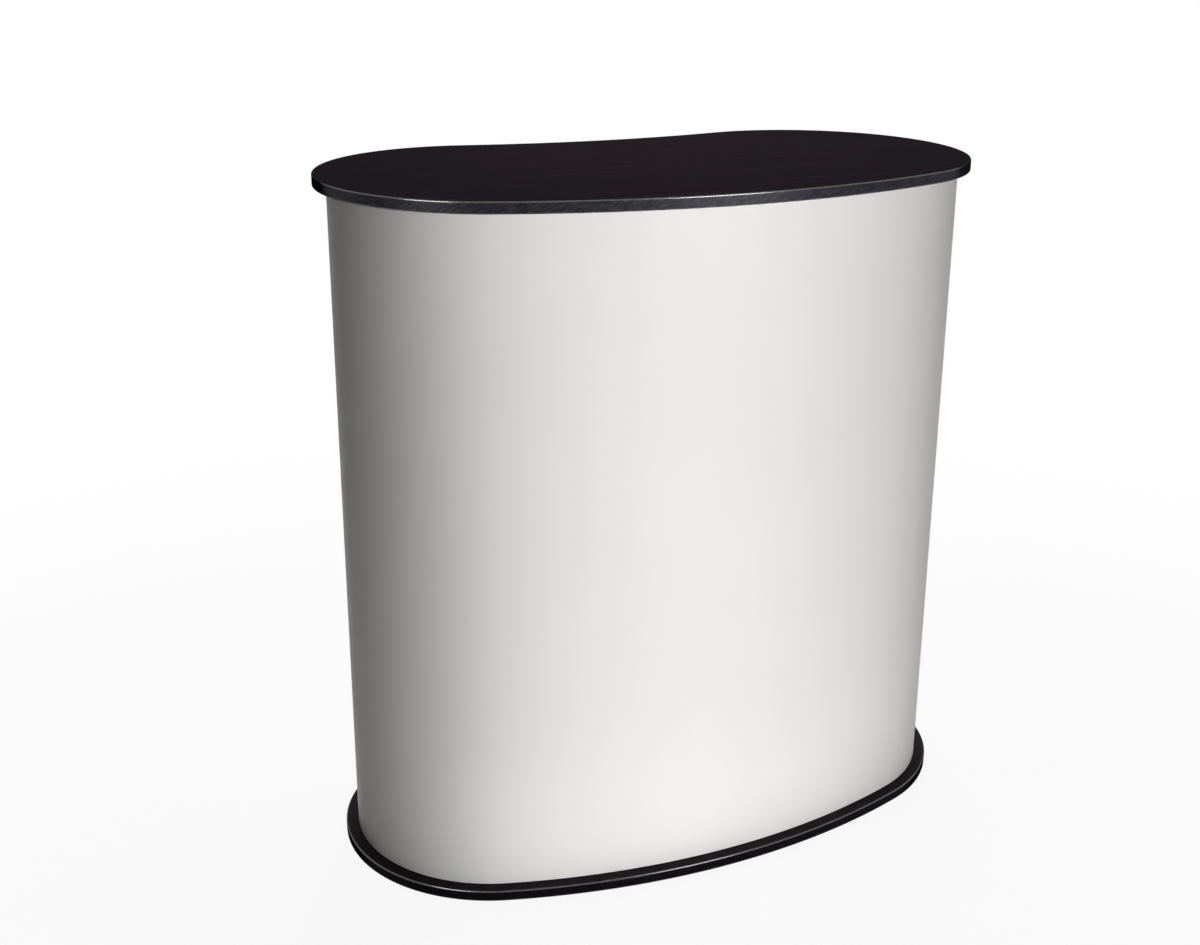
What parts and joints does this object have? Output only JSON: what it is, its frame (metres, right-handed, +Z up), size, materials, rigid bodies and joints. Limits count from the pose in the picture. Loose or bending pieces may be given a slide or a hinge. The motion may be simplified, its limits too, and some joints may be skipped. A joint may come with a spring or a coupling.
{
  "type": "promotional counter",
  "caption": "Kidney-shaped promotional counter: dark wood-grain worktop and base, plain white wrapped body, storage behind a lockable rear door, levelling feet.",
  "frame": {"origin": "on the floor, at the centre of the footprint of the worktop and base", "axes": "+Z up, -Y to the wrapped front, +Y to the rear door, X along the counter"},
  "size_m": [0.9738, 0.5075, 1],
  "materials": {
    "black_ash": "black wood-grain laminate, fine open grain, satin",
    "black_edging": "black wood-grain edge band, satin",
    "white_wrap": "smooth satin white flexible sheet",
    "black_former": "black through-dyed fibreboard, matt",
    "white_door": "white laminate on a bent board, satin",
    "jamb_wood": "black painted fibreboard, matt",
    "aluminium": "natural anodised tube, fine drawn lines",
    "steel": "zinc-plated",
    "nickel": "satin nickel plate",
    "tape": "black woven hook-and-loop tape",
    "black_plastic": "black moulded plastic",
    "bumper": "clear grey soft bumper"
  },
  "bodies": {
    "counter": {"worktop_board": "black_ash", "base_board": "black_ash", "shelf_board": "black_ash", "worktop_edging": "black_edging", "base_edging": "black_edging", "top_former": "black_former", "base_former": "black_former", "wrap_panel": "white_wrap", "hook_tapes": "tape", "loop_tapes": "tape", "hinge_jamb": "jamb_wood", "lock_jamb": "jamb_wood", "left_post": "aluminium", "right_post": "aluminium", "post_plugs": "steel", "post_bolts": "steel", "shelf_collars": "aluminium", "collar_screws": "steel", "shelf_pegs": "steel", "worktop_screws": "steel", "base_screws": "steel", "jamb_screws": "steel", "hinge_frame_leaves": "nickel", "hinge_frame_screws": "nickel", "hinge_pins": "nickel", "strike_plate": "nickel", "strike_screws": "steel", "foot_inserts": "steel", "door_bumpers": "bumper"},
    "door": {"door_panel": "white_door", "hinge_door_leaves": "nickel", "hinge_door_screws": "nickel", "door_pull": "nickel", "pull_screws": "steel", "lock_housing": "nickel", "lock_nut": "steel"},
    "lock": {"lock_plug": "nickel", "lock_cam": "steel", "cam_screw": "steel"},
    "pad_front_left": {"foot_pad_front_left": "black_plastic"},
    "stem_front_left": {"foot_stem_front_left": "steel"},
    "pad_front_right": {"foot_pad_front_right": "black_plastic"},
    "stem_front_right": {"foot_stem_front_right": "steel"},
    "pad_rear_left": {"foot_pad_rear_left": "black_plastic"},
    "stem_rear_left": {"foot_stem_rear_left": "steel"},
    "pad_rear_right": {"foot_pad_rear_right": "black_plastic"},
    "stem_rear_right": {"foot_stem_rear_right": "steel"}
  },
  "joints": [
    {"name": "door_hinge", "type": "hinge", "parent": "counter", "child": "door", "pos_m": [0.21071, 0.23551, 0.5], "axis": [0, 0, -1], "range_deg": [0, 115]},
    {"name": "lock_turn", "type": "hinge", "parent": "door", "child": "lock", "pos_m": [-0.18645, 0.22685, 0.7], "axis": [0.1742, 0.9847, 0], "range_deg": [0, 90]},
    {"name": "stem_turn_front_left", "type": "hinge", "parent": "pad_front_left", "child": "stem_front_left", "pos_m": [-0.26838, -0.14354, 0.02], "axis": [0, 0, -1], "range_deg": [0, 1440]},
    {"name": "pad_slide_front_left", "type": "slide", "parent": "counter", "child": "pad_front_left", "axis": [0, 0, -1], "range_m": [0, 0.005]},
    {"name": "stem_turn_front_right", "type": "hinge", "parent": "pad_front_right", "child": "stem_front_right", "pos_m": [0.26838, -0.14354, 0.02], "axis": [0, 0, -1], "range_deg": [0, 1440]},
    {"name": "pad_slide_front_right", "type": "slide", "parent": "counter", "child": "pad_front_right", "axis": [0, 0, -1], "range_m": [0, 0.005]},
    {"name": "stem_turn_rear_left", "type": "hinge", "parent": "pad_rear_left", "child": "stem_rear_left", "pos_m": [-0.36007, 0.1269, 0.02], "axis": [0, 0, -1], "range_deg": [0, 1440]},
    {"name": "pad_slide_rear_left", "type": "slide", "parent": "counter", "child": "pad_rear_left", "axis": [0, 0, -1], "range_m": [0, 0.005]},
    {"name": "stem_turn_rear_right", "type": "hinge", "parent": "pad_rear_right", "child": "stem_rear_right", "pos_m": [0.36007, 0.1269, 0.02], "axis": [0, 0, -1], "range_deg": [0, 1440]},
    {"name": "pad_slide_rear_right", "type": "slide", "parent": "counter", "child": "pad_rear_right", "axis": [0, 0, -1], "range_m": [0, 0.005]}
  ],
  "couplings": [
    {"joint": "stem_turn_front_left", "follows": "pad_slide_front_left", "rad_per_m": 5026.5},
    {"joint": "stem_turn_front_right", "follows": "pad_slide_front_right", "rad_per_m": 5026.5},
    {"joint": "stem_turn_rear_left", "follows": "pad_slide_rear_left", "rad_per_m": 5026.5},
    {"joint": "stem_turn_rear_right", "follows": "pad_slide_rear_right", "rad_per_m": 5026.5}
  ]
}
